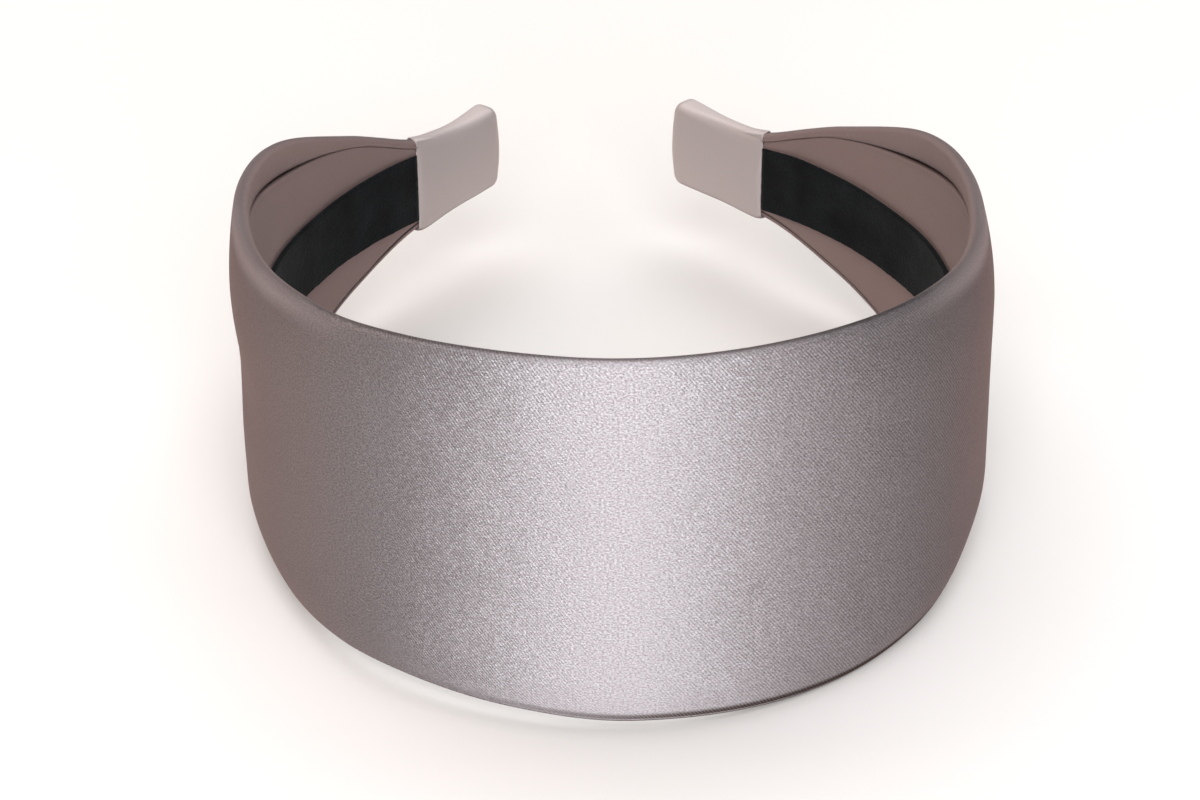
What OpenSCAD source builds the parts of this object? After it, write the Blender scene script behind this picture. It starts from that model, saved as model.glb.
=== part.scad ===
// Wide satin covered headband, standing on its lower rim with the crown towards -Y.
// The origin lies on the surface it rests on, under the middle of the whole band.

/* [Band] */
// Distance along the band from the middle of the crown to a tip
half_length = 195; // [190:1:200]
// Height of the band at the crown
crown_height = 64; // [61:0.5:66]
// Thickness of the rims, where the satin is folded over
rim_thickness = 2.2; // [2.2:0.1:2.6]
// Thickness of the wall behind the lining, without its padding
core_thickness = 1; // [0.8:0.1:1]
// Distance from a rim over which the padding rises to its full thickness
padding_rise = 6; // [5:0.5:11]

/* [Lining] */
// Thickness of the lining panel
lining_thickness = 1; // [0.8:0.1:1]

/* [Grip strip] */
// Width of the velvet strip
strip_width = 13; // [10:0.5:14]
// Thickness of the velvet strip
strip_thickness = 1; // [0.8:0.1:1]

/* [Tip wraps] */
// Length of the satin sleeve over a tip
wrap_length = 22; // [18:1:26]
// Thickness of the sleeve's satin
wrap_wall = 1; // [1:0.1:1.4]
// Radius of the sleeve's two end corners
wrap_corner = 2.2; // [1.8:0.1:3]

/* [Fit] */
// Gap between neighbouring pieces
ply_gap = 0.1; // [0.1:0.05:0.15]

/* [Detail] */
// Sections along each half of the band
sections = 44; // [30:1:46]

/* [Hidden] */

// Columns of BAND
SHARE = 0;   // place along the half length, 0 at the crown and 1 at the tip
TURN = 1;    // degrees that the band turns in 10 mm of its length
HEIGHT = 2;  // height of the band as a share of crown_height
PADDING = 3; // thickness of the padding under the outer satin, in millimetres
HEM = 4;     // satin turned in along the upper rim, in millimetres
BAND = [
    [0.00, 10.1, 1.000, 1.2, 1.8],
    [0.14,  9.5, 0.989, 1.4, 1.8],
    [0.29,  9.7, 0.930, 2.2, 1.8],
    [0.43,  6.4, 0.847, 2.3, 1.8],
    [0.55,  5.4, 0.826, 1.6, 4.2],
    [0.68,  9.4, 0.720, 1.0, 5.7],
    [0.80,  6.4, 0.466, 0.6, 2.0],
    [0.89,  1.1, 0.272, 0.2, 1.5],
    [1.00, -4.0, 0.223, 0.0, 1.5],
];

// Columns of WRAP
MOUTH = 0; // place along the sleeve, 0 at its mouth and 1 at its closed end
SWELL = 1; // how far its two faces stand past their plain place, in millimetres
FLARE = 2; // how far its two long edges stand past their plain place, in millimetres
WRAP = [
    [0.00, 0.0, 0.0],
    [0.06, 0.3, 0.1],
    [0.15, 0.1, 0.0],
    [0.50, 0.0, 0.0],
    [0.80, 0.4, 0.1],
    [1.00, 0.6, 0.2],
];

// Angles up a rounded rim, from the face of the wall towards its edge
RIM_ANGLES = [70, 35, 0];
// Shares of padding_rise at which the outer face has a point
RISE_SHARES = [0.3, 0.55, 0.8, 1];
// Shares of the lined height at which the inner face has a point
LINED_SHARES = [0.6, 0.2];
// Satin turned in along the lower rim
lower_hem = 1.5;
// Height of the step from the hem down to the lining
crease = 0.3;
// Share of the band's depth at which its weight acts
balance = 0.4;
// Rounding of the sleeve's long edges and of the pocket in it
wrap_edge = 1.4;
pocket_edge = 0.4;
// Rounding of the strip's and the lining's long edges
ply_bevel = 0.3;

rim_radius = rim_thickness / 2;
lining_outside = -core_thickness - ply_gap;
lining_inside = lining_outside - lining_thickness;
strip_outside = min(lining_inside, -rim_thickness) - ply_gap;
strip_inside = strip_outside - strip_thickness;
step_length = half_length / sections;

function flat_list(lists) = [for (list = lists) for (item = list) item];
function backwards(list) = [for (i = [len(list) - 1:-1:0]) list[i]];

// Smooth value of a table's column at a place, with the slope of the neighbouring rows
function row_before(table, place, i = 0) =
    i < len(table) - 2 && place >= table[i + 1][0] ? row_before(table, place, i + 1) : i;
function row_slope(table, column, i) =
    let(
        before = table[max(i - 1, 0)],
        after = table[min(i + 1, len(table) - 1)]
    )
    i == 0 ? 0 : (after[column] - before[column]) / (after[0] - before[0]);
function smooth(table, column, place) =
    let(
        i = row_before(table, place),
        run = table[i + 1][0] - table[i][0],
        t = (place - table[i][0]) / run
    )
    (2 * t * t * t - 3 * t * t + 1) * table[i][column]
    + (t * t * t - 2 * t * t + t) * run * row_slope(table, column, i)
    + (3 * t * t - 2 * t * t * t) * table[i + 1][column]
    + (t * t * t - t * t) * run * row_slope(table, column, i + 1);

// Value of a column of BAND at a distance s from the crown, negative on the left
function band(column, s) = smooth(BAND, column, min(abs(s) / half_length, 1));
function half_height(s) = band(HEIGHT, s) * crown_height / 2;

// Heading of the band and the place of its rims' outer edge, section by section
turns = [for (i = [0:sections]) band(TURN, i * step_length) * step_length / 10];
headings = [
    for (i = 0, a = 0; i <= sections; a = a + (turns[i] + turns[min(i + 1, sections)]) / 2, i = i + 1) a
];
mid_headings = [for (i = [0:sections]) (headings[i] + headings[min(i + 1, sections)]) / 2];
sideways = [for (i = 0, x = 0; i <= sections; x = x + step_length * cos(mid_headings[i]), i = i + 1) x];
backward = [for (i = 0, y = 0; i <= sections; y = y + step_length * sin(mid_headings[i]), i = i + 1) y];

// A point at a distance s along the band, out from the rims' outer edge, and up from mid height
function spot(s, out, up) =
    let(
        i = min(floor(abs(s) / step_length + 0.0001), sections),
        part = abs(s) / step_length - i,
        turned = headings[i] + part * (headings[min(i + 1, sections)] - headings[i]),
        along = part * step_length,
        side = s < 0 ? -1 : 1
    )
    [
        side * (sideways[i] + along * cos(mid_headings[i]) + out * sin(turned)),
        backward[i] + along * sin(mid_headings[i]) - out * cos(turned),
        up
    ];

// Thickness of the padding at a height up from mid height
function padding(s, up) =
    let(
        half = half_height(s),
        rise = min(max((half - abs(up)) / min(padding_rise, 0.8 * half), 0), 1)
    )
    band(PADDING, s) * (1 - pow(1 - rise, 2));

// Upper half of the cover's outer face, and half of its inner face, each point as [out, up]
function outer_face(s) =
    let(
        half = half_height(s),
        rise = min(padding_rise, 0.8 * half)
    )
    [
        for (a = RIM_ANGLES)
            let(up = half - rim_radius + rim_radius * sin(a))
            [rim_radius * (cos(a) - 1) + padding(s, up), up],
        for (share = RISE_SHARES) [padding(s, half - share * rise), half - share * rise],
    ];
function inner_face(s, hem) =
    let(
        half = half_height(s),
        lined = half - hem
    )
    [
        for (a = RIM_ANGLES) [
            -rim_thickness + rim_radius * (1 - cos(a)),
            half - rim_radius + rim_radius * sin(a)
        ],
        [-rim_thickness, lined],
        [-core_thickness, lined - crease],
        for (share = LINED_SHARES) [-core_thickness, share * lined],
    ];

// Whole section from its upper and lower halves: the outer face from the bottom up, then the inner down
function mirrored(face) = [for (p = face) [p[0], -p[1]]];
function section(outer, inner, lower_outer, lower_inner) =
    flat_list([mirrored(lower_outer), backwards(outer), inner, backwards(mirrored(lower_inner))]);
function placed(s, points) = [for (p = points) spot(s, p[0], p[1])];

function cover_section(s) =
    let(outer = outer_face(s))
    placed(s, section(outer, inner_face(s, band(HEM, s)), outer, inner_face(s, lower_hem)));

// Half of a face of the lining, which ends below its edge by bevel
function lining_face(out, s, hem, bevel) =
    let(lined = half_height(s) - hem)
    [
        [out, lined - crease - ply_gap - bevel],
        for (share = LINED_SHARES) [out, share * lined],
    ];
function lining_section(s) =
    placed(s, section(
        lining_face(lining_outside, s, band(HEM, s), 0),
        lining_face(lining_inside, s, band(HEM, s), ply_bevel),
        lining_face(lining_outside, s, lower_hem, 0),
        lining_face(lining_inside, s, lower_hem, ply_bevel)
    ));

function strip_section(s) =
    let(
        half = strip_width / 2,
        outer = [[strip_outside, half], [strip_outside, half / 2]],
        inner = [[strip_inside + ply_bevel, half], [strip_inside, half - ply_bevel]]
    )
    placed(s, section(outer, inner, outer, inner));

// Rectangle with rounded corners, as [out, up] points in the same order as a section
function rounded_box(inside, outside, half, radius) =
    [
        for (corner = [[1, -1, 270], [1, 1, 0], [-1, 1, 90], [-1, -1, 180]])
            for (a = [0, 45, 90])
                [
                    (corner[0] > 0 ? outside - radius : inside + radius) + radius * cos(corner[2] + a),
                    corner[1] * (half - radius) + radius * sin(corner[2] + a)
                ]
    ];

// Solid through a row of closed sections, with a flat cap of triangles or one face at each end
module loft(rings, ladder_caps = true) {
    count = len(rings[0]);
    last = len(rings) - 1;
    half = count / 2;
    function at(i, j) = i * count + (j + count) % count;
    walls = [
        for (i = [0:last - 1])
            for (j = [0:count - 1])
                each [
                    [at(i, j), at(i, j + 1), at(i + 1, j + 1)],
                    [at(i, j), at(i + 1, j + 1), at(i + 1, j)]
                ]
    ];
    ladder = [
        for (j = [0:half - 2])
            each [
                [j, count - 1 - j, j + 1],
                [j + 1, count - 1 - j, count - 2 - j]
            ]
    ];
    fan = [for (j = [1:count - 2]) [0, j + 1, j]];
    cap = ladder_caps ? ladder : fan;
    end_cap = [for (face = cap) [for (j = backwards(face)) at(last, j)]];
    polyhedron(points = flat_list(rings), faces = concat(walls, cap, end_cap));
}

// The sections of one sleeve: up the pocket from its closed end, round the mouth, and back outside
function wrap_rings(side) =
    let(
        mouth = half_length - wrap_length,
        wall = ply_gap + wrap_wall,
        end = half_length + wall,
        pocket_depth = wrap_length + ply_gap,
        pocket = [
            for (share = [1, 0.75, 0.5, 0.25, 0])
                let(s = mouth + share * pocket_depth)
                placed(side * s, rounded_box(
                    -rim_thickness - ply_gap,
                    band(PADDING, s) + ply_gap,
                    half_height(s) + ply_gap,
                    pocket_edge
                ))
        ],
        outside = [
            for (share = [0, 0.06, 0.15, 0.3, 0.5, 0.7, 0.85, 0.92, 0.97, 1])
                let(
                    s = mouth + share * (end - mouth),
                    over = max(s - (end - wrap_corner), 0),
                    corner = wrap_corner - sqrt(max(pow(wrap_corner, 2) - pow(over, 2), 0.01)),
                    thinned = 0.35 * corner,
                    thick = wall + smooth(WRAP, SWELL, share) - thinned,
                    tall = wall + smooth(WRAP, FLARE, share) - corner
                )
                placed(side * s, rounded_box(
                    -rim_thickness - thick,
                    band(PADDING, s) + thick,
                    half_height(s) + tall,
                    wrap_edge
                ))
        ]
    )
    concat(pocket, outside);

// The band rests on the lowest rim points before and behind its middle, so its tips sink a little
rims = [for (i = [1:sections]) [backward[i], -half_height(i * step_length)]];
middle = backward[sections] * balance;
leans = [
    for (front = rims, back = rims)
        if (front[0] < middle && back[0] > middle)
            let(slope = (back[1] - front[1]) / (back[0] - front[0]))
            [front[1] + slope * (middle - front[0]), slope]
];
lowest = min([for (lean = leans) lean[0]]);
rest_tilt = atan([for (lean = leans) if (lean[0] == lowest) lean[1]][0]);

function tilted(p) = [
    p[0],
    p[1] * cos(rest_tilt) + p[2] * sin(rest_tilt),
    p[2] * cos(rest_tilt) - p[1] * sin(rest_tilt)
];
cover_spots = [for (i = [0:sections]) each [for (p = cover_section(i * step_length)) tilted(p)]];
wrap_spots = [for (ring = wrap_rings(1)) each [for (p = ring) tilted(p)]];
front_edge = min([for (p = cover_spots) p[1]]);
back_edge = max([for (p = wrap_spots) p[1]]);
bottom = min([for (p = cover_spots) p[2]]);
module at_rest() {
    translate([0, -(front_edge + back_edge) / 2, -bottom])
        rotate([-rest_tilt, 0, 0])
            children();
}

module satin_cover() {
    color([0.73, 0.66, 0.66])
        at_rest()
            loft([for (i = [-sections:sections]) cover_section(i * step_length)]);
}

module lining() {
    reach = half_length - ply_gap;
    color([0.5, 0.42, 0.41])
        at_rest()
            loft([
                lining_section(-reach),
                for (i = [1 - sections:sections - 1]) lining_section(i * step_length),
                lining_section(reach)
            ]);
}

module grip_strip() {
    reach = half_length - wrap_length - ply_gap;
    inner_steps = floor(reach / step_length - 0.2);
    color([0.12, 0.12, 0.13])
        at_rest()
            loft([
                strip_section(-reach),
                for (i = [-inner_steps:inner_steps]) strip_section(i * step_length),
                strip_section(reach)
            ]);
}

module tip_wrap(side) {
    rings = wrap_rings(side);
    color([0.68, 0.63, 0.63])
        at_rest()
            loft(side > 0 ? rings : [for (ring = rings) backwards(ring)], ladder_caps = false);
}

module tip_wrap_left() {
    tip_wrap(-1);
}

module tip_wrap_right() {
    tip_wrap(1);
}

satin_cover();
lining();
grip_strip();
tip_wrap_left();
tip_wrap_right();
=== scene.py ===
"""Looks of a wide padded satin headband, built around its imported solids."""

import math

import bmesh
import bpy
from mathutils import Matrix, Vector, noise


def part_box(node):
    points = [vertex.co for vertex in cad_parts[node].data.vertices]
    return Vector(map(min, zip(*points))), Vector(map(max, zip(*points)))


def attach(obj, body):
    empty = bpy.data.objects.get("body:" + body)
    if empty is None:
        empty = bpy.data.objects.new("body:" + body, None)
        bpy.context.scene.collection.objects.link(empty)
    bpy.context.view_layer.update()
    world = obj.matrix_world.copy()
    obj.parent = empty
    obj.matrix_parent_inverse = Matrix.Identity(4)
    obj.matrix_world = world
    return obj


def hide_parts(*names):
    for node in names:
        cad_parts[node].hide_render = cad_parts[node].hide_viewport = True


bl_info = {
    "name": "Satin Headband",
    "version": (1, 0, 0),
    "blender": (4, 5, 0),
    "location": "3D View > Sidebar > Headband",
    "description": "Builds a wide padded satin headband and a plain studio around it",
    "category": "Object",
}

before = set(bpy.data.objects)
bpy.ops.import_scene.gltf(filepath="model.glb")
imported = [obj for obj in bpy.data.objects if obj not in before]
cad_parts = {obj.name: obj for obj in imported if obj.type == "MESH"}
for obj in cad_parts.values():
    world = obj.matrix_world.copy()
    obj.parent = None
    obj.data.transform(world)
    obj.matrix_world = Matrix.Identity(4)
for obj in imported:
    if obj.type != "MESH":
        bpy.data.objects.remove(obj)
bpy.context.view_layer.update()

MM = 0.001

PLACE = 0  # the first column of every table, at which its other columns hold

# Rows of the band from the middle of its crown to a tip: place as a share of the half
# length, turn in degrees per 10 mm, height as a share of the crown's, then the padding
# under the satin and the satin turned in along the upper rim, both in millimetres. Turn,
# height and padding are rounded results of a least-squares fit to the photo's outline
TURN, HEIGHT, PADDING, HEM = range(1, 5)
BAND = (
    (0.00, 10.1, 1.000, 1.2, 1.8),
    (0.14, 9.5, 0.989, 1.4, 1.8),
    (0.29, 9.7, 0.930, 2.2, 1.8),
    (0.43, 6.4, 0.847, 2.3, 1.8),
    (0.55, 5.4, 0.826, 1.6, 4.2),
    (0.68, 9.4, 0.720, 1.0, 5.7),
    (0.80, 6.4, 0.466, 0.6, 2.0),
    (0.89, 1.1, 0.272, 0.2, 1.5),
    (1.00, -4.0, 0.223, 0.0, 1.5),
)

# Rows of a tip sleeve: place from its mouth to its closed end as a share, then how far its
# outer face, inner face, upper edge and lower edge stand off the band, in millimetres
OUTER, INNER, UPPER, LOWER = range(1, 5)
SLEEVE = (
    (0.00, 0.20, 0.45, 0.15, 0.60),
    (0.06, 0.40, 0.70, 0.25, 1.00),
    (0.15, 0.60, 0.80, 0.45, 1.10),
    (0.50, 0.90, 1.10, 0.85, 1.00),
    (0.80, 1.50, 1.50, 1.10, 1.10),
    (1.00, 1.70, 1.70, 1.50, 1.20),
)

# How the cloth has settled on each side: place along the band, how far the band stands out
# there along its upper and lower edges, how far those edges lie above their even height, and
# how far the cloth reaches on along the band, all in millimetres
SETTLED_COLUMNS = range(1, 6)
SETTLED_LEFT = (
    (0, 0, 0, 0, 0, 0),
    (20, 0, 0, 0, 1.0, 0),
    (38, 0.5, 0.6, 0, 1.6, 0),
    (50, 1.0, 1.1, 0, 1.1, 0),
    (61, 0.6, 0.6, 0, 0.3, 0),
    (74, 0.7, 0.2, 0, -0.3, 0),
    (105, 1.1, -0.4, 0, 0, 0),
    (140, 0.1, -0.1, 0.2, 0, 0),
    (165, 0, 0, 0.3, -0.4, -0.2),
    (175, 0, 0, -0.1, -0.6, -0.8),
    (184, 0, 0, -0.2, 0.3, -0.9),
    (195, 0, 0, 0.8, 1.4, -2.2),
)
SETTLED_RIGHT = (
    (0, 0, 0, 0, 0, 0),
    (20, 0, 0, 0, -0.5, 0),
    (38, 0, 0, 0, -1.2, 0),
    (54, 0.1, 0.4, 0, -0.9, 0),
    (72, 0.4, 0.5, 0, -0.8, 0),
    (105, 0.1, 1.3, -0.4, -0.2, 0),
    (140, 0.3, 0.4, -0.6, 0.6, 0),
    (165, 0, 0, -0.2, 0, 0.4),
    (175, 0, 0, -1.0, -0.5, 0.9),
    (184, 0, 0, -0.6, -0.3, 0.6),
    (195, 0, 0, 0.2, 0.3, -0.2),
)

# Dents in the cover: place along the band and above mid height, reach along and up, and
# depth, all in millimetres. The lining isn't dented, so the cover reaches up to about
# 0.5 mm into the lining's hidden side there
DENTS = (
    (-88, 2, 14, 7, 0.9),
    (-97, -16, 6, 14, 0.4),
    (71, -14, 9, 16, 0.4),
    (-52, -20, 10, 14, 0.35),
)

# Sizes in millimetres
CORE = 1.0  # wall behind the lining, without its padding
LINING = 1.0  # thickness of the lining
PLY_GAP = 0.1  # between neighbouring pieces
LOWER_HEM = 1.25  # satin turned in along the lower rim, where the lining almost reaches the edge
CREASE = 0.45  # half the width of the crease below the satin turned in along the upper rim
CLOSED_CREASE = 0.05  # the same along the lower rim and at the tips
WIDE_CREASE = 0.6  # half a crease's width at which its shade is full
COVER_INSET, LINING_INSET = 0.7, 0.9  # from a tip of the band to the end of the piece
STRIP, THIN_STRIP = 0.95, 0.3  # thickness of the velvet strip, and the same under a sleeve
STRIP_BEVEL = 0.3  # height of the strip's rounded edges
STRIP_DROP, STRIP_RETURN = 1.9, 1.5  # how far the strip sinks along an arm, and comes back at its tip
STRIP_INSET = 0.05  # from a sleeve's mouth to the end of the strip
SLEEVE_OVERHANG = 0.3  # from a tip of the band to the end of its sleeve
SLEEVE_CORNER, SLEEVE_EDGE, POCKET_EDGE = 2.2, 1.7, 0.4  # radii of the end, the long edges and the pocket
POCKET_INSET = 0.6  # from a tip of the band to the bottom of the pocket drawn around it
LIP, LEAST_STAND = 0.3, 0.15  # how far the cloth thins towards the mouth, and how far it stands off at least
PULLED_MOUTH, PULLED_END = 4.2, 1.6  # height over which the cloth is pulled flat over the inner upper edge

LIP_SHARE = 0.03  # of a sleeve's length, over which it thins to its lip
LOWER_FULLNESS = 1.7  # how many times faster the padding rises from the lower rim than from the upper
COVER_COUNT, LINING_COUNT, STRIP_COUNT = 321, 281, 441  # sections along the pieces

REST_TILT = math.radians(4.442)  # the tips sink a little, so that crown and sides touch

PATH_STEP = 0.5  # mm between the points of the band's path

COLOUR_A, COLOUR_B, MIXED = 6, 7, 2  # the colour sockets of a Mix node, which share their names with others

# Sizes of the satin's drawing in millimetres, along the floats and across them
TWILL = (0.45, 0.45)
GRAIN = (0.38, 0.27)
SLACK = (14, 10)
TWILL_SLANT = math.radians(38)
WAVE_UNIT = math.pi / 10  # scale at which a wave texture repeats once in each unit
FLAT_NORMAL = (0.5, 0.5, 1, 1)
WEFT = "#cb9e90"

# The camera, as it stands to the band before the band tilts to rest, in degrees and
# millimetres: rounded results of the same fit to the photo's outline
CAMERA_AZIMUTH, CAMERA_ELEVATION, CAMERA_ROLL = -2.96, 29.5, -0.13
CAMERA_PIVOT = (0, 60, 0)
CAMERA_DISTANCE, CAMERA_SLIDE = 518.9, (2.4, 7.1)
CAMERA_LENS, SENSOR_WIDTH = 93.15, 36

FLOOR_REACH = 3  # metres from the floor's middle to its sides

AIM = Vector((0, 0, 0.03))
LIGHT_DISTANCE = 2.0  # metres from AIM
LIGHTS = (
    # name, azimuth and elevation in degrees, size in m, power in W, colour
    ("front_softbox", -2, 5, (2.8, 0.3), 67, "#f8fdff"),
    ("raised_softbox", 0, 32, (1.3, 0.7), 11, "#ffffff"),
    ("high_softbox", 0, 58, (1.3, 0.9), 13, "#ffffff"),
    ("left_softbox", -60, 44, (1.3, 0.8), 4.5, "#fff6f2"),
    ("right_softbox", 58, 34, (1.0, 0.6), 2.5, "#fff4f2"),
    ("right_strip", 50, 8, (0.8, 0.4), 6, "#fffaf8"),
    ("left_back_softbox", -110, 35, (1.3, 0.8), 5, "#ffd9b8"),
    ("back_softbox", 180, 62, (2.6, 1.6), 34, "#ffffff"),
)


def linear(code):
    """Linear colour of an sRGB hex value."""
    parts = [int(code[i : i + 2], 16) / 255 for i in (1, 3, 5)]
    return [c / 12.92 if c <= 0.04045 else ((c + 0.055) / 1.055) ** 2.4 for c in parts]


def swatch(name, description, code):
    """A colour property, whose default is an sRGB hex value."""
    return bpy.props.FloatVectorProperty(
        name=name,
        description=description,
        default=linear(code),
        subtype="COLOR",
        min=0,
        max=1,
    )


class HeadbandSizes(bpy.types.PropertyGroup):
    half_length: bpy.props.FloatProperty(
        name="Half length",
        description="Distance along the band from the middle of the crown to a tip",
        default=0.195,
        unit="LENGTH",
    )
    crown_height: bpy.props.FloatProperty(
        name="Crown height",
        description="Height of the band at the crown",
        default=0.064,
        unit="LENGTH",
    )
    rim_thickness: bpy.props.FloatProperty(
        name="Rim thickness",
        description="Thickness of the rims, where the satin is folded over",
        default=0.0022,
        unit="LENGTH",
    )
    padding_rise: bpy.props.FloatProperty(
        name="Padding rise",
        description="Distance from a rim over which the padding rises to its full thickness",
        default=0.014,
        unit="LENGTH",
    )
    strip_width: bpy.props.FloatProperty(
        name="Strip width",
        description="Width of the velvet strip",
        default=0.013,
        unit="LENGTH",
    )
    sleeve_length: bpy.props.FloatProperty(
        name="Sleeve length",
        description="Length of the satin sleeve over a tip",
        default=0.022,
        unit="LENGTH",
    )


class HeadbandColours(bpy.types.PropertyGroup):
    satin: swatch("Satin", "Colour of the satin's threads", "#9b9598")
    # Painted shade: the dark colour mixed into the satin along the lower rim, in the creases and along the
    # sleeves' lower edges
    fold_and_painted_shade: swatch("Painted shade", "Colour of the satin along its folded lower rim and in the creases", "#3f3430")
    lining: swatch("Lining", "Colour of the lining", "#968381")
    velvet: swatch("Velvet", "Colour of the grip strip's pile", "#15181a")
    sleeve: swatch("Sleeves", "Colour of the tip sleeves' satin", "#cbc1c0")
    floor: swatch("Floor", "Colour of the floor", "#f5f2f0")


def ease(start, stop, value):
    """Goes smoothly from 0 at start to 1 at stop."""
    t = min(max((value - start) / (stop - start), 0), 1)
    return t * t * (3 - 2 * t)


def steps(start, stop, count, bend=1.0):
    """Evenly spaced values from start to stop, closer together at the far end where bend is below 1."""
    return [start + (stop - start) * (i / (count - 1)) ** bend for i in range(count)]


def smooth(table, column, place):
    """Smooth value of a table's column, with the slope of the neighbouring rows."""
    i = 0
    while i < len(table) - 2 and place >= table[i + 1][PLACE]:
        i += 1

    def slope(k):
        if k == 0:
            return 0
        before, after = table[k - 1], table[min(k + 1, len(table) - 1)]
        return (after[column] - before[column]) / (after[PLACE] - before[PLACE])

    run = table[i + 1][PLACE] - table[i][PLACE]
    t = (place - table[i][PLACE]) / run
    return (
        (2 * t**3 - 3 * t**2 + 1) * table[i][column]
        + (t**3 - 2 * t**2 + t) * run * slope(i)
        + (3 * t**2 - 2 * t**3) * table[i + 1][column]
        + (t**3 - t**2) * run * slope(i + 1)
    )


class Band:
    """The band in millimetres: its path, its sections and where it rests."""

    def __init__(self, sizes):
        self.reach = sizes.half_length / MM
        self.crown = sizes.crown_height / MM
        self.rim = sizes.rim_thickness / MM
        self.rise = sizes.padding_rise / MM
        count = round(self.reach / PATH_STEP)
        turns = [math.radians(self.row(TURN, i * PATH_STEP)) * PATH_STEP / 10 for i in range(count + 1)]
        self.path = [(0.0, 0.0, 0.0)]
        for a, b in zip(turns, turns[1:]):
            x, y, heading = self.path[-1]
            turned = heading + (a + b) / 2
            middle = (heading + turned) / 2
            self.path.append((x + PATH_STEP * math.cos(middle), y + PATH_STEP * math.sin(middle), turned))
        self.tilt = Matrix.Rotation(-REST_TILT, 3, "X")
        self.lift = Vector((0, 0, 0))
        low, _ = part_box("satin_cover")
        rough = [self.spot(s, *p[:2]) for s in range(0, int(self.reach), 3) for p in self.cover_section(s)]
        self.lift = Vector((0, low[1] - min(p.y for p in rough), low[2] - min(p.z for p in rough)))

    def row(self, column, s):
        """Value of a column of BAND at s along the band."""
        return smooth(BAND, column, min(abs(s) / self.reach, 1))

    def half_height(self, s):
        """Half the band's height at s."""
        return self.row(HEIGHT, s) * self.crown / 2

    def padding(self, s, up, fuller=1):
        """Thickness of the padding at a point, which rises faster from its rim where it is fuller."""
        half = self.half_height(s)
        rise = min(max((half - abs(up)) / min(self.rise / fuller, 0.8 * half), 0), 1)
        return self.row(PADDING, s) * (1 - (1 - rise) ** 2)

    def spot(self, s, out, up):
        """Place in the frame of a point s along the band, out from its rims' edge and up from mid height."""
        settled = SETTLED_LEFT if s < 0 else SETTLED_RIGHT
        upper_stand, lower_stand, upper_edge, lower_edge, along = (
            smooth(settled, column, abs(s)) for column in SETTLED_COLUMNS
        )
        low = 0.5 - up / self.half_height(s) / 2
        out += low * lower_stand + (1 - low) * upper_stand
        up += low * lower_edge + (1 - low) * upper_edge
        run = abs(s) + along
        at = min(run / PATH_STEP, len(self.path) - 1)
        i = min(int(at), len(self.path) - 2)
        share = at - i
        x, y, heading = (a + share * (b - a) for a, b in zip(self.path[i], self.path[i + 1]))
        past = max(run - self.reach, 0)
        x += past * math.cos(heading) + out * math.sin(heading)
        y += past * math.sin(heading) - out * math.cos(heading)
        return self.tilt @ Vector((math.copysign(x, s) if s else x, y, up)) * MM + self.lift

    def shadow(self, s):
        """How dark the lower rim is: in the shade of the crown, and in the light along the arms."""
        return 1 - ease(80, 110, abs(s))

    def opening(self, s):
        """Half the width of the crease beside the upper hem, which closes towards the tips."""
        return CREASE - (CREASE - CLOSED_CREASE) * ease(128, 158, abs(s))

    def cover_section(self, s):
        """The cover's closed outline, as (out, up, shade), from the middle of its hidden inner face round.

        Shade above 0 is painted shade, and below 0 it marks turned-in satin.
        """
        upper = self.cover_half(s, self.row(HEM, s), self.opening(s), 0, 1)
        lower = self.cover_half(s, LOWER_HEM, CLOSED_CREASE, self.shadow(s), LOWER_FULLNESS)
        return upper[::-1] + [(out, -up, fold_and_painted_shade) for out, up, fold_and_painted_shade in lower[1:]]

    def cover_half(self, s, hem, opening, dark, fuller):
        """Half of the cover's outline, from the middle of its outer face to that of its hidden inner face."""
        half, r = self.half_height(s), self.rim / 2
        edge = half - hem + opening
        crease = min(opening / WIDE_CREASE, 1)
        # The floats are bent over the rim and look matt there
        worn = -0.5 * (1 - dark) * ease(40, 75, abs(s))
        # Over the crown a thin dark line of painted shade runs along the upper rim
        line = 0.7 * (1 - dark) * (1 - ease(35, 65, abs(s)))
        # Painted shade: a dark line along the lower rim's edge, strongest from the crown's middle to its
        # right
        painted_lower_rim_shade = dark * ease(-45, 15, s)
        # The padded outer face, matt towards the rims along the arms, with painted shade along the lower rim
        # under the crown
        points = []
        for up in steps(0, half - r, 24, bend=0.55) + steps(half - r - 1.2, half - r - 0.3, 4):
            fold_and_painted_shade = worn * ease(4, 1, half - up) + painted_lower_rim_shade * ease(1.3, 0.4, half - r - up)
            points.append((self.padding(s, up, fuller), up, fold_and_painted_shade))
        points.sort(key=lambda point: point[1])
        # The rolled rim, from its outer side to its inner side: painted shade along the lower rim under the
        # crown and the thin painted line over the crown; along the arms it is matt, and its inner side shows
        # the satin's back
        for a in steps(12, 168, 14):
            out, up = r * math.cos(math.radians(a)) - r, half - r + r * math.sin(math.radians(a))
            puffed = self.padding(s, up, fuller) if a < 90 else 0
            turned = ease(90, 150, a)
            fold_and_painted_shade = dark * ease(8, 26, a) * (1 - 0.7 * turned) + worn - (1 + worn) * (1 - dark) * turned
            fold_and_painted_shade += line * ease(50, 80, a) * (1 - ease(110, 140, a))
            points.append((out + puffed, up, fold_and_painted_shade))
        # The satin turned in, slightly full and showing its back; painted shade darkens it next to the
        # crease, and along the lower rim under the crown
        for t in steps(0, 1, 8):
            fold_and_painted_shade = 0.3 * dark - (1 - dark) * (1 - 1.3 * t**5 * crease)
            points.append((-self.rim - 0.12 * math.sin(math.pi * t), half - r - t * (half - r - edge), fold_and_painted_shade))
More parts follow.
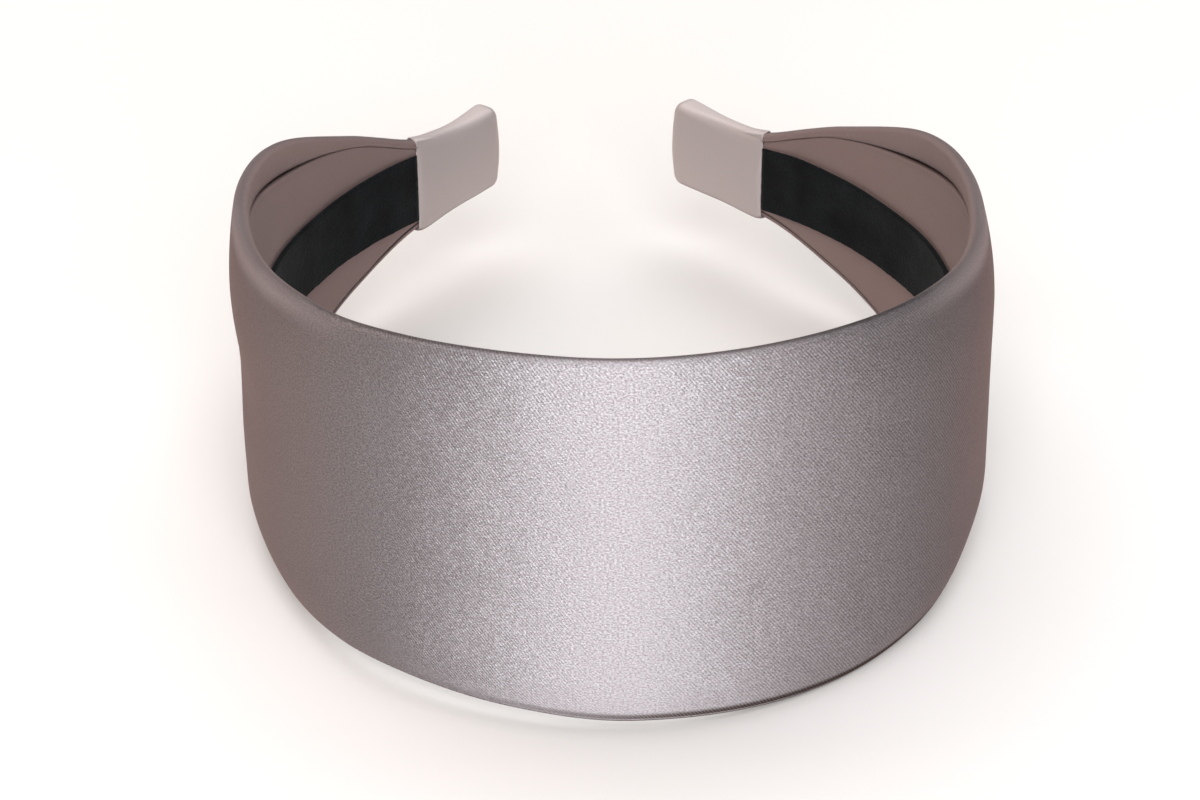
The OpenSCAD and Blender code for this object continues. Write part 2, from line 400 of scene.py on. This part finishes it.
        # The crease beside it, darkened with painted shade, and the wall behind the lining
        points += [
            (-self.rim + 0.5 * opening, edge - 0.25 * opening, 0.2 * crease),
            (-self.rim + 1.2 * opening, edge - 0.6 * opening, 0.4 * crease),
            (-CORE - 0.3, edge - opening, 0.55 * crease),
        ]
        return points + [(-CORE, (edge - opening - 0.2) * t, 0.55) for t in (1, 0.6, 0)]

    def lining_section(self, s):
        """The lining's closed outline, as (out, up, painted shade), from the middle of its hidden face round.
        """
        opening = self.opening(s)
        # Painted shade along the lining's upper edge beside the crease, fuller the wider the crease opens;
        # the lower edge takes the painted shade of the lower rim
        dark = 0.7 * opening / WIDE_CREASE
        upper = self.lining_half(s, self.row(HEM, s) + opening, 0.2 + 0.6 * opening, dark)
        lower = self.lining_half(s, LOWER_HEM + PLY_GAP, 0.15, self.shadow(s))
        return upper + [(out, -up, fold_and_painted_shade) for out, up, fold_and_painted_shade in lower[-2::-1]]

    def lining_half(self, s, hem, rounding, dark):
        """Half of the lining's outline, from the middle of its hidden face to that of the face that shows."""
        edge = self.half_height(s) - hem
        outside = -CORE - PLY_GAP
        inside = outside - LINING
        points = [(outside, t * edge, 0) for t in (0, 0.5, 0.9)]
        # Painted shade along the edge, fading onto the face that shows
        points += [(outside, edge - 0.1, dark), (outside - 0.2, edge, dark)]
        for a in steps(0, 90, 6):
            out = inside + rounding * (1 - math.sin(math.radians(a)))
            up = edge - rounding * (1 - math.cos(math.radians(a)))
            points.append((out, up, 0.6 * dark * (1 - a / 90)))
        shaded = 0.25 * dark if rounding > 0.3 else 0
        for t in (0.97, 0.94, 0.9, 0.8, 0.65, 0.45, 0.2, 0):
            points.append((inside - 0.1 * (1 - t**4), t * (edge - rounding), shaded * ease(0.9, 1, t)))
        return points


def dented(s, up):
    """How far the cover is pressed in at a point."""
    return sum(
        depth * math.exp(-(((s - along) / reach) ** 2) - ((up - height) / rise) ** 2)
        for along, height, reach, rise, depth in DENTS
    )


def ripple(s, up, size, seed):
    """A gentle unevenness, from -1 to 1, over about size millimetres."""
    return noise.noise(Vector((s / size, up / size, seed)))


def add_object(name, data):
    """Adds an object to the scene."""
    thing = bpy.data.objects.new(name, data)
    bpy.context.scene.collection.objects.link(thing)
    return thing


def loft(name, band, places, sections, slack):
    """A closed skin through a piece's sections: a grid of cloth, joined along its length, closed at its ends.

    A section is a list of (out, up, shade), and slack gives a point's own unevenness as (out, up). The UV map
    runs along the band and round its section, in metres. A point attribute holds each point's painted shade
    above 0, and below 0 how far the satin there is turned in.
    """
    columns, rows = len(places), len(sections[0])
    bm = bmesh.new()
    bmesh.ops.create_grid(bm, x_segments=columns - 1, y_segments=rows - 1, size=1)
    cloth = bm.loops.layers.uv.new("cloth")
    # The layer holds each point's painted shade above 0, and how far the satin is turned in below 0
    folds = bm.verts.layers.float.new("fold_and_painted_shade")
    where = {}
    for v in bm.verts:
        i = round((v.co.x + 1) / 2 * (columns - 1))
        j = round((v.co.y + 1) / 2 * (rows - 1))
        where[v] = (i, j)
    across = [girths(section) for section in sections]
    for face in bm.faces:
        for loop in face.loops:
            i, j = where[loop.vert]
            loop[cloth].uv = (places[i] * MM, across[i][j] * MM)
    for v, (i, j) in where.items():
        out, up, v[folds] = sections[i][j]
        more_out, more_up = slack(places[i], out, up)
        v.co = band.spot(places[i], out + more_out, up + more_up)
    bmesh.ops.remove_doubles(bm, verts=bm.verts, dist=1e-7)
    bmesh.ops.holes_fill(bm, edges=[e for e in bm.edges if e.is_boundary], sides=0)
    bmesh.ops.recalc_face_normals(bm, faces=bm.faces)
    for face in bm.faces:
        face.smooth = True
    mesh = bpy.data.meshes.new(name)
    bm.to_mesh(mesh)
    bm.free()
    return add_object(name, mesh)


def girths(section):
    """Distance round a section from its middle point."""
    lengths = [0.0]
    for a, b in zip(section, section[1:]):
        lengths.append(lengths[-1] + math.hypot(b[0] - a[0], b[1] - a[1]))
    return [x - lengths[len(section) // 2] for x in lengths]


def finish(piece, material, slot, *nodes):
    """Gives a piece its finish and lets it stand for its solids."""
    piece.data.materials.append(material)
    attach(piece, "root")
    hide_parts(*nodes)


def add(tree, kind, settings, links=()):
    """Adds a node, sets its settings and inputs, and links inputs from the outputs given for them.

    A key is a name or an input's number.
    """
    node = tree.nodes.new(kind)
    for key, value in settings.items():
        if isinstance(key, int) or key in node.inputs:
            node.inputs[key].default_value = value
        else:
            setattr(node, key, value)
    for key, output in dict(links).items():
        tree.links.new(output, node.inputs[key])
    return node


def new_material(name):
    """An empty material and its node tree."""
    material = bpy.data.materials.new(name)
    material.use_nodes = True
    material.node_tree.nodes.clear()
    return material, material.node_tree


def toned(colour, *tones):
    """A colour with full opacity, lighter or darker by one tone or by one for each of red, green and blue."""
    return (*(min(c * tone, 1) for c, tone in zip(colour, tones * (3 // len(tones)))), 1)


def per_size(along, across):
    """Scale of a mapping at which a texture's unit is that long and wide, in millimetres."""
    return (1 / (along * MM), 1 / (across * MM), 1)


def satin(name, colour, fold_and_painted_shade, roughness, metallic, back=None, twill=0.4, sparkle=0.13, grit=0.2, sheen=0.02):
    """Duchess satin: polyester woven with long floats along the band. Its back, turned inwards, is matt.

    The floats mirror light narrowly along themselves and widely across, so a highlight stands as an upright
    band. Their ends sparkle as a fine grain of tilted facets and varied tone, whose contrast is raised over
    the crown as painted sparkle, and slanting lines of them show as a faint twill. Painted shade darkens the
    satin along the lower rim and in the creases.
    """
    material, tree = new_material(name)
    uv = add(tree, "ShaderNodeUVMap", {"uv_map": "cloth"}).outputs["UV"]
    # Warp threads lie about 0.1 mm apart; drawn as the 0.45 mm slanting lines that the float ends make
    slanted = add(
        tree,
        "ShaderNodeMapping",
        {"Rotation": (0, 0, TWILL_SLANT), "Scale": per_size(*TWILL)},
        {"Vector": uv},
    )
    lines = add(
        tree,
        "ShaderNodeTexWave",
        {"Scale": WAVE_UNIT, "Distortion": 0.8, "Detail": 1.0},
        {"Vector": slanted.outputs["Vector"]},
    )
    # Float ends are about 0.1 mm; drawn as a grain of about 0.3 mm, a little longer along the floats
    spread = add(tree, "ShaderNodeMapping", {"Scale": per_size(*GRAIN)}, {"Vector": uv})
    grain = add(
        tree,
        "ShaderNodeTexNoise",
        {"Scale": 1.0, "Detail": 2.0, "Roughness": 0.6},
        {"Vector": spread.outputs["Vector"]},
    )
    # The grain's tone varies at random, and its contrast is raised over the crown as painted sparkle where
    # the highlight stands, fading along the arms, 45 to 80 mm from the middle
    along = add(tree, "ShaderNodeSeparateXYZ", {}, {"Vector": uv})
    away = add(tree, "ShaderNodeMath", {"operation": "ABSOLUTE"}, {0: along.outputs["X"]})
    painted_sparkle_strength = add(
        tree,
        "ShaderNodeMapRange",
        {"From Min": 45 * MM, "From Max": 80 * MM, "To Min": 1, "To Max": 0.2},
        {"Value": away.outputs["Value"]},
    )
    crisp = add(
        tree,
        "ShaderNodeMapRange",
        {"From Min": 0.35, "From Max": 0.65, "To Min": -0.5, "To Max": 0.5},
        {"Value": grain.outputs["Fac"]},
    )
    lit = add(
        tree,
        "ShaderNodeMath",
        {"operation": "MULTIPLY_ADD", 2: 0.5},
        {0: crisp.outputs["Result"], 1: painted_sparkle_strength.outputs["Result"]},
    )
    dim, bright = ([1 + side * share * grit for share in (0.8, 1, 0.96)] for side in (-1, 1))
    threads = add(
        tree,
        "ShaderNodeMix",
        {"data_type": "RGBA", COLOUR_A: toned(colour, *dim), COLOUR_B: toned(colour, *bright)},
        {"Factor": lit.outputs["Value"]},
    )
    # Reads the point attribute: painted shade above 0, turned-in satin below 0
    folded = add(tree, "ShaderNodeAttribute", {"attribute_name": "fold_and_painted_shade"})
    faces = threads
    even_metal, varied_metal = {"Metallic": metallic}, {}
    if back:
        # Where the attribute is below 0 the cloth is turned in and shows its back
        turned_in = add(
            tree,
            "ShaderNodeMath",
            {"operation": "MULTIPLY", "use_clamp": True, 1: -1.0},
            {0: folded.outputs["Fac"]},
        )
        faces = add(
            tree,
            "ShaderNodeMix",
            {"data_type": "RGBA", COLOUR_B: toned(back, 1)},
            {"Factor": turned_in.outputs["Value"], COLOUR_A: threads.outputs[MIXED]},
        )
        metal = add(
            tree,
            "ShaderNodeMapRange",
            {"To Min": metallic, "To Max": 0.2 * metallic},
            {"Value": turned_in.outputs["Value"]},
        )
        even_metal, varied_metal = {}, {"Metallic": metal.outputs["Result"]}
    # Painted shade: where the attribute is above 0 the colour is mixed towards the dark shade colour, broken
    # up a little by the twill lines
    serrated = add(
        tree,
        "ShaderNodeMapRange",
        {"To Min": 0.8, "To Max": 1.1},
        {"Value": lines.outputs["Fac"]},
    )
    depth = add(
        tree,
        "ShaderNodeMath",
        {"operation": "MULTIPLY", "use_clamp": True},
        {0: folded.outputs["Fac"], 1: serrated.outputs["Result"]},
    )
    shade = add(
        tree,
        "ShaderNodeMix",
        {"data_type": "RGBA", COLOUR_B: toned(fold_and_painted_shade, 1)},
        {"Factor": depth.outputs["Value"], COLOUR_A: faces.outputs[MIXED]},
    )
    gloss = add(
        tree,
        "ShaderNodeMapRange",
        {"From Min": 0.3, "From Max": 0.7, "To Min": roughness + 0.1, "To Max": roughness - 0.1},
        {"Value": grain.outputs["Fac"]},
    )
    floats = add(tree, "ShaderNodeTangent", {"direction_type": "UV_MAP", "uv_map": "cloth"})
    shader = add(
        tree,
        "ShaderNodeBsdfPrincipled",
        even_metal
        | {
            # At a glancing angle the gaps between the floats show the darker, redder weft
            "Specular Tint": (*linear(WEFT), 1),
            "Anisotropic": 0.8,
            "Anisotropic Rotation": 0.25,
            "Sheen Weight": sheen,
            "Sheen Roughness": 0.5,
        },
        varied_metal
        | {
            "Base Color": shade.outputs[MIXED],
            "Roughness": gloss.outputs["Result"],
            "Normal": satin_relief(tree, uv, spread, lines, sparkle, twill),
            "Tangent": floats.outputs["Tangent"],
        },
    )
    add(tree, "ShaderNodeOutputMaterial", {}, {"Surface": shader.outputs["BSDF"]})
    return material


def satin_relief(tree, uv, spread, lines, sparkle, twill):
    """The satin's normal: its tilted float ends, its slack over the padding and its slanting lines."""
    ends = add(
        tree,
        "ShaderNodeTexVoronoi",
        {"voronoi_dimensions": "2D", "Scale": 1.0},
        {"Vector": spread.outputs["Vector"]},
    )
    tilts = add(
        tree,
        "ShaderNodeMix",
        {"data_type": "RGBA", "Factor": 0.5 * sparkle, COLOUR_A: FLAT_NORMAL},
        {COLOUR_B: ends.outputs["Color"]},
    )
    facets = add(tree, "ShaderNodeNormalMap", {"uv_map": "cloth"}, {"Color": tilts.outputs[MIXED]})
    # Slack in the cloth over its padding, in patches of about 12 mm
    patches = add(tree, "ShaderNodeMapping", {"Scale": per_size(*SLACK)}, {"Vector": uv})
    slack = add(
        tree,
        "ShaderNodeTexNoise",
        {"Scale": 1.0, "Detail": 3.0},
        {"Vector": patches.outputs["Vector"]},
    )
    folds = add(
        tree,
        "ShaderNodeBump",
        {"Strength": 0.6, "Distance": 0.5 * MM},
        {"Height": slack.outputs["Fac"], "Normal": facets.outputs["Normal"]},
    )
    slants = add(
        tree,
        "ShaderNodeBump",
        {"Strength": twill, "Distance": 0.05 * MM},
        {"Height": lines.outputs["Fac"], "Normal": folds.outputs["Normal"]},
    )
    return slants.outputs["Normal"]


def velvet(name, colour):
    """Matt nylon velvet ribbon: short upright pile that swallows light and only greys at a glancing view."""
    material, tree = new_material(name)
    uv = add(tree, "ShaderNodeUVMap", {"uv_map": "cloth"}).outputs["UV"]
    # Pile hairs are about 0.05 mm thick; drawn as tufts of about 0.5 mm
    fine = add(tree, "ShaderNodeMapping", {"Scale": per_size(0.5, 0.5)}, {"Vector": uv})
    tufts = add(
        tree,
        "ShaderNodeTexNoise",
        {"Scale": 1.0, "Detail": 3.0, "Roughness": 0.7},
        {"Vector": fine.outputs["Vector"]},
    )
    # The pile leans this way and that in patches of about 7 mm
    coarse = add(tree, "ShaderNodeMapping", {"Scale": per_size(7, 7)}, {"Vector": uv})
    patches = add(
        tree,
        "ShaderNodeTexNoise",
        {"Scale": 1.0, "Detail": 2.0},
        {"Vector": coarse.outputs["Vector"]},
    )
    lean = add(
        tree,
        "ShaderNodeMath",
        {"operation": "MULTIPLY"},
        {0: tufts.outputs["Fac"], 1: patches.outputs["Fac"]},
    )
    tone = add(
        tree,
        "ShaderNodeMapRange",
        {"From Min": 0.1, "From Max": 0.5},
        {"Value": lean.outputs["Value"]},
    )
    pile = add(
        tree,
        "ShaderNodeMix",
        {"data_type": "RGBA", COLOUR_A: toned(colour, 0.5), COLOUR_B: toned(colour, 2.2)},
        {"Factor": tone.outputs["Result"]},
    )
    bump = add(
        tree,
        "ShaderNodeBump",
        {"Strength": 0.8, "Distance": 0.25 * MM},
        {"Height": tufts.outputs["Fac"]},
    )
    shader = add(
        tree,
        "ShaderNodeBsdfPrincipled",
        {
            "Roughness": 1.0,
            "IOR": 1.45,
            "Specular IOR Level": 0.15,
            "Sheen Weight": 0.06,
            "Sheen Roughness": 0.4,
        },
        {"Base Color": pile.outputs[MIXED], "Normal": bump.outputs["Normal"]},
    )
    add(tree, "ShaderNodeOutputMaterial", {}, {"Surface": shader.outputs["BSDF"]})
    return material


def paper_sweep(name, colour):
    """Matt white backdrop paper: an even pale floor with no grain to see."""
    material, tree = new_material(name)
    shader = add(
        tree,
        "ShaderNodeBsdfPrincipled",
        {"Base Color": toned(colour, 1), "Roughness": 0.9, "Specular IOR Level": 0.2},
    )
    add(tree, "ShaderNodeOutputMaterial", {}, {"Surface": shader.outputs["BSDF"]})
    return material


class HEADBAND_OT_cover(bpy.types.Operator):
    """Makes the satin cover: padded outer face, rolled rims and the satin turned in along them"""

    bl_idname = "headband.cover"
    bl_label = "Satin Cover"

    def execute(self, context):
        band = Band(context.scene.headband_sizes)
        colours = context.scene.headband_colours
        places = steps(COVER_INSET - band.reach, band.reach - COVER_INSET, COVER_COUNT)

        def slack(s, out, up):
            if out < -CORE:
                return 0.05 * ripple(s, up, 9, 2), 0
            return 0.07 * ripple(s, up, 14, 1) - dented(s, up), 0

        piece = loft("satin_cover_cloth", band, places, [band.cover_section(s) for s in places], slack)
        cloth = satin("mauve_duchess_satin", colours.satin, colours.fold_and_painted_shade, 0.62, 1.0, back=colours.lining)
        finish(piece, cloth, "cover_satin", "satin_cover")
        return {"FINISHED"}


class HEADBAND_OT_lining(bpy.types.Operator):
    """Makes the lining: a thin panel glued inside between the turned-in strips"""

    bl_idname = "headband.lining"
    bl_label = "Lining"

    def execute(self, context):
        band = Band(context.scene.headband_sizes)
        colours = context.scene.headband_colours
        places = steps(LINING_INSET - band.reach, band.reach - LINING_INSET, LINING_COUNT)
        sections = [band.lining_section(s) for s in places]

        def slack(s, out, up):
            if out < -CORE - 0.9:
                return 0.07 * ripple(s, up, 12, 4), 0.1 * ripple(s, 0, 6, 3)
            return 0, 0

        piece = loft("lining_cloth", band, places, sections, slack)
        cloth = satin(
            "polyester_lining_satin",
            colours.lining,
            colours.fold_and_painted_shade,
            0.6,
            0.15,
            twill=0.08,
            sparkle=0.03,
            grit=0.1,
        )
        finish(piece, cloth, "lining_satin", "lining")
        return {"FINISHED"}


class HEADBAND_OT_grip_strip(bpy.types.Operator):
    """Makes the velvet grip strip along the inner centre line, thinner where it runs in under the sleeves"""

    bl_idname = "headband.grip_strip"
    bl_label = "Grip Strip"

    def execute(self, context):
        sizes = context.scene.headband_sizes
        band = Band(sizes)
        reach = band.reach - sizes.sleeve_length / MM - STRIP_INSET
        half = sizes.strip_width / MM / 2
        outside = -band.rim - PLY_GAP
        places = steps(-reach, reach, STRIP_COUNT)
        sections = [self.outline(s, reach, outside, half) for s in places]

        def slack(s, out, up):
            pile = 0.09 * ripple(s, up, 0.9, 5) if out < outside - 0.2 else 0
            waver = 0.06 * ripple(s, math.copysign(9, up), 1.1, 6)
            waver += 0.1 * ripple(s, math.copysign(5, up), 7, 7)
            return pile, waver * up / half

        piece = loft("grip_strip_velvet", band, places, sections, slack)
        ribbon = velvet("black_velvet_ribbon", context.scene.headband_colours.velvet)
        finish(piece, ribbon, "velvet", "grip_strip")
        return {"FINISHED"}

    def outline(self, s, reach, outside, half):
        """A closed outline of the strip, which was glued a little below the middle along the arms."""
        inside = outside - THIN_STRIP - (STRIP - THIN_STRIP) * ease(0, 9, reach - abs(s))
        middle = (outside + inside) / 2
        upper = [(outside, t * half, 0) for t in (0, 0.5, 0.94)]
        for a in steps(0.6, math.pi - 0.3, 6):
            out = middle + (outside - middle) * math.cos(a)
            upper.append((out, half - STRIP_BEVEL + STRIP_BEVEL * math.sin(a), 0))
        upper += [(inside, t * half, 0) for t in (0.94, 0.84, 0.74, 0.63, 0.52, 0.42, 0.31, 0.21, 0.1, 0)]
        drop = STRIP_DROP * ease(40, 115, abs(s)) - STRIP_RETURN * ease(135, 168, abs(s))
        whole = upper + [(out, -up, fold_and_painted_shade) for out, up, fold_and_painted_shade in upper[-2::-1]]
        return [(out, up - drop, fold_and_painted_shade) for out, up, fold_and_painted_shade in whole]


class HEADBAND_OT_tip_sleeves(bpy.types.Operator):
    """Makes the two satin sleeves folded over the tips"""

    bl_idname = "headband.tip_sleeves"
    bl_label = "Tip Sleeves"

    def execute(self, context):
        sizes = context.scene.headband_sizes
        colours = context.scene.headband_colours
        band = Band(sizes)
        cloth = satin(
            "light_mauve_satin",
            colours.sleeve,
            colours.fold_and_painted_shade,
            0.5,
            0.3,
            twill=0.03,
            sparkle=0.01,
            grit=0.05,
        )
        mouth = band.reach - sizes.sleeve_length / MM
        end = band.reach + SLEEVE_OVERHANG
        pocket = band.reach - POCKET_INSET
        hidden = [pocket - share * (pocket - mouth) for share in (0, 0.25, 0.5, 0.75, 0.98)]
        shares = (0.0, 0.005, 0.015, LIP_SHARE, *steps(0.06, 0.9, 18), *steps(0.915, 1, 9))
        shown = [mouth + share * (end - mouth) for share in shares]
        sections = [self.outline(band, s, (PLY_GAP,) * 4, POCKET_EDGE) for s in hidden]
        sections += [self.shown_outline(band, s, share, end) for s, share in zip(shown, shares)]

        def slack(s, out, up):
            loose = ease(0, 3, abs(s) - mouth)
            return 0.05 * loose * ripple(s, up, 5, 8), 0.08 * loose * ripple(s, 3, 5, 9)

        for name, side in (("tip_wrap_left", -1), ("tip_wrap_right", 1)):
            places = [side * s for s in hidden + shown]
            piece = loft(name + "_satin", band, places, sections, slack)
            finish(piece, cloth, "wrap_satin", name)
        return {"FINISHED"}

    def shown_outline(self, band, s, share, end):
        """An outline of the sleeve's outside, with a thin lip at its mouth and round corners at its end."""
        lip = LIP * max(1 - share / LIP_SHARE, 0) ** 2
        over = max(s - (end - SLEEVE_CORNER), 0)
        corner = SLEEVE_CORNER - math.sqrt(max(SLEEVE_CORNER**2 - over**2, 0))
        outer, inner, upper, lower = (
            max(smooth(SLEEVE, column, share) - lip, LEAST_STAND) for column in (OUTER, INNER, UPPER, LOWER)
        )
        stands = (outer - 0.7 * corner, inner - 0.7 * corner, upper - corner, lower - corner)
        pulled = PULLED_MOUTH - (PULLED_MOUTH - PULLED_END) * ease(0.1, 0.95, share)
        return self.outline(band, s, stands, SLEEVE_EDGE, pulled)

    def outline(self, band, s, stands, radius, pulled=0):
        """A rounded outline, which stands off the band's outer face, inner face, upper edge and lower edge.

        Towards the mouth the cloth is pulled flat over the inner upper edge, over a height of pulled.
        """
        outer, inner, upper, lower = stands
        half = band.half_height(s)
        right, left, top, foot = band.row(PADDING, s) + outer, -band.rim - inner, half + upper, -half - lower
        radius = min(radius, (right - left) / 2 - 0.02)
        pulled = max(pulled, radius)
        corners = (
            (right - radius, foot + radius, radius, 270),
            (right - radius, top - radius, radius, 0),
            (left + radius, top - pulled, pulled, 90),
            (left + radius, foot + radius, radius, 180),
        )
        points = []
        for out, up, rise, turn in corners:
            if turn in (0, 180):
                # A long face, slightly full, runs up to this corner from the last one
                face, start = points[-1]
                full = 0.12 * min(outer, 1) if turn == 0 else -0.5 * min(inner, 1)
                for x in steps(1 / 12, 11 / 12, 11):
                    points.append((face + full * math.sin(math.pi * x), start + x * (up - start)))
            angles = [math.radians(a) for a in steps(turn, turn + 90, 8)]
            points += [(out + radius * math.cos(a), up + rise * math.sin(a)) for a in angles]
        points.append(points[0])
        # Painted shade darkens the cloth along the sleeve's lower edge
        return [(out, up, 0.6 * ease(foot + 1.2, foot + 0.3, up)) for out, up in points]


def direction(azimuth, elevation):
    """Direction from the middle outwards, at angles in radians, where azimuth 0 is the side of the crown."""
    return Vector(
        (
            math.sin(azimuth) * math.cos(elevation),
            -math.cos(azimuth) * math.cos(elevation),
            math.sin(elevation),
        )
    )


class HEADBAND_OT_studio(bpy.types.Operator):
    """Sets up the plain floor, the soft lights and the camera"""

    bl_idname = "headband.studio"
    bl_label = "Studio"

    def execute(self, context):
        self.lay_floor(context.scene)
        self.set_world(context.scene)
        self.hang_lights()
        self.set_camera(context.scene)
        return {"FINISHED"}

    def lay_floor(self, scene):
        """Lays a wide square of backdrop paper."""
        bm = bmesh.new()
        bmesh.ops.create_grid(bm, x_segments=1, y_segments=1, size=FLOOR_REACH)
        mesh = bpy.data.meshes.new("floor")
        bm.to_mesh(mesh)
        bm.free()
        floor = add_object("floor", mesh)
        floor.data.materials.append(paper_sweep("white_backdrop_paper", scene.headband_colours.floor))

    def set_world(self, scene):
        """Makes a white background that lights nothing."""
        world = bpy.data.worlds.new("studio")
        world.use_nodes = True
        scene.world = world
        sky = world.node_tree.nodes["Background"]
        sky.inputs["Color"].default_value = (1, 1, 1, 1)
        scene.world.cycles_visibility.diffuse = scene.world.cycles_visibility.glossy = False
        scene.view_settings.view_transform = "Standard"

    def hang_lights(self):
        """Hangs the lights around AIM, each turned towards it."""
        for name, azimuth, elevation, size, power, colour in LIGHTS:
            light = bpy.data.lights.new(name, "AREA")
            light.shape = "RECTANGLE"
            light.size, light.size_y = size
            light.energy = power
            light.color = linear(colour)
            lamp = add_object(name, light)
            way = direction(math.radians(azimuth), math.radians(elevation))
            lamp.location = AIM + way * LIGHT_DISTANCE
            lamp.rotation_euler = way.to_track_quat("Z", "Y").to_euler()

    def set_camera(self, scene):
        """Places the camera, which tilts and shifts together with the band."""
        band = Band(scene.headband_sizes)
        camera = add_object("camera", bpy.data.cameras.new("camera"))
        a, e, r = (math.radians(x) for x in (CAMERA_AZIMUTH, CAMERA_ELEVATION, CAMERA_ROLL))
        back = direction(a, e)
        right = Vector((math.cos(a), math.sin(a), 0))
        roll = Matrix(((math.cos(r), math.sin(r), 0), (-math.sin(r), math.cos(r), 0), (0, 0, 1)))
        turned = (roll @ Matrix((right, back.cross(right), back))).transposed()
        slide = Vector((-CAMERA_SLIDE[0], -CAMERA_SLIDE[1], CAMERA_DISTANCE))
        place = band.tilt @ (Vector(CAMERA_PIVOT) + turned @ slide) * MM + band.lift
        camera.matrix_world = Matrix.Translation(place) @ (band.tilt @ turned).to_4x4()
        camera.data.lens = CAMERA_LENS
        camera.data.sensor_width = SENSOR_WIDTH
        scene.camera = camera


class HEADBAND_PT_panel(bpy.types.Panel):
    """Lists the headband's pieces, sizes and colours"""

    bl_idname = "HEADBAND_PT_panel"
    bl_label = "Headband"
    bl_space_type = "VIEW_3D"
    bl_region_type = "UI"
    bl_category = "Headband"

    def draw(self, context):
        for operator in OPERATORS:
            self.layout.operator(operator.bl_idname)
        for group in (context.scene.headband_sizes, context.scene.headband_colours):
            box = self.layout.box()
            for key in group.__annotations__:
                box.prop(group, key)


OPERATORS = (
    HEADBAND_OT_cover,
    HEADBAND_OT_lining,
    HEADBAND_OT_grip_strip,
    HEADBAND_OT_tip_sleeves,
    HEADBAND_OT_studio,
)
CLASSES = (HeadbandSizes, HeadbandColours, *OPERATORS, HEADBAND_PT_panel)


def register():
    for cls in CLASSES:
        bpy.utils.register_class(cls)
    bpy.types.Scene.headband_sizes = bpy.props.PointerProperty(type=HeadbandSizes)
    bpy.types.Scene.headband_colours = bpy.props.PointerProperty(type=HeadbandColours)


def unregister():
    del bpy.types.Scene.headband_sizes
    del bpy.types.Scene.headband_colours
    for cls in reversed(CLASSES):
        bpy.utils.unregister_class(cls)


def main():
    register()
    bpy.ops.headband.cover()
    bpy.ops.headband.lining()
    bpy.ops.headband.grip_strip()
    bpy.ops.headband.tip_sleeves()
    bpy.ops.headband.studio()


if __name__ == "__main__":
    main()
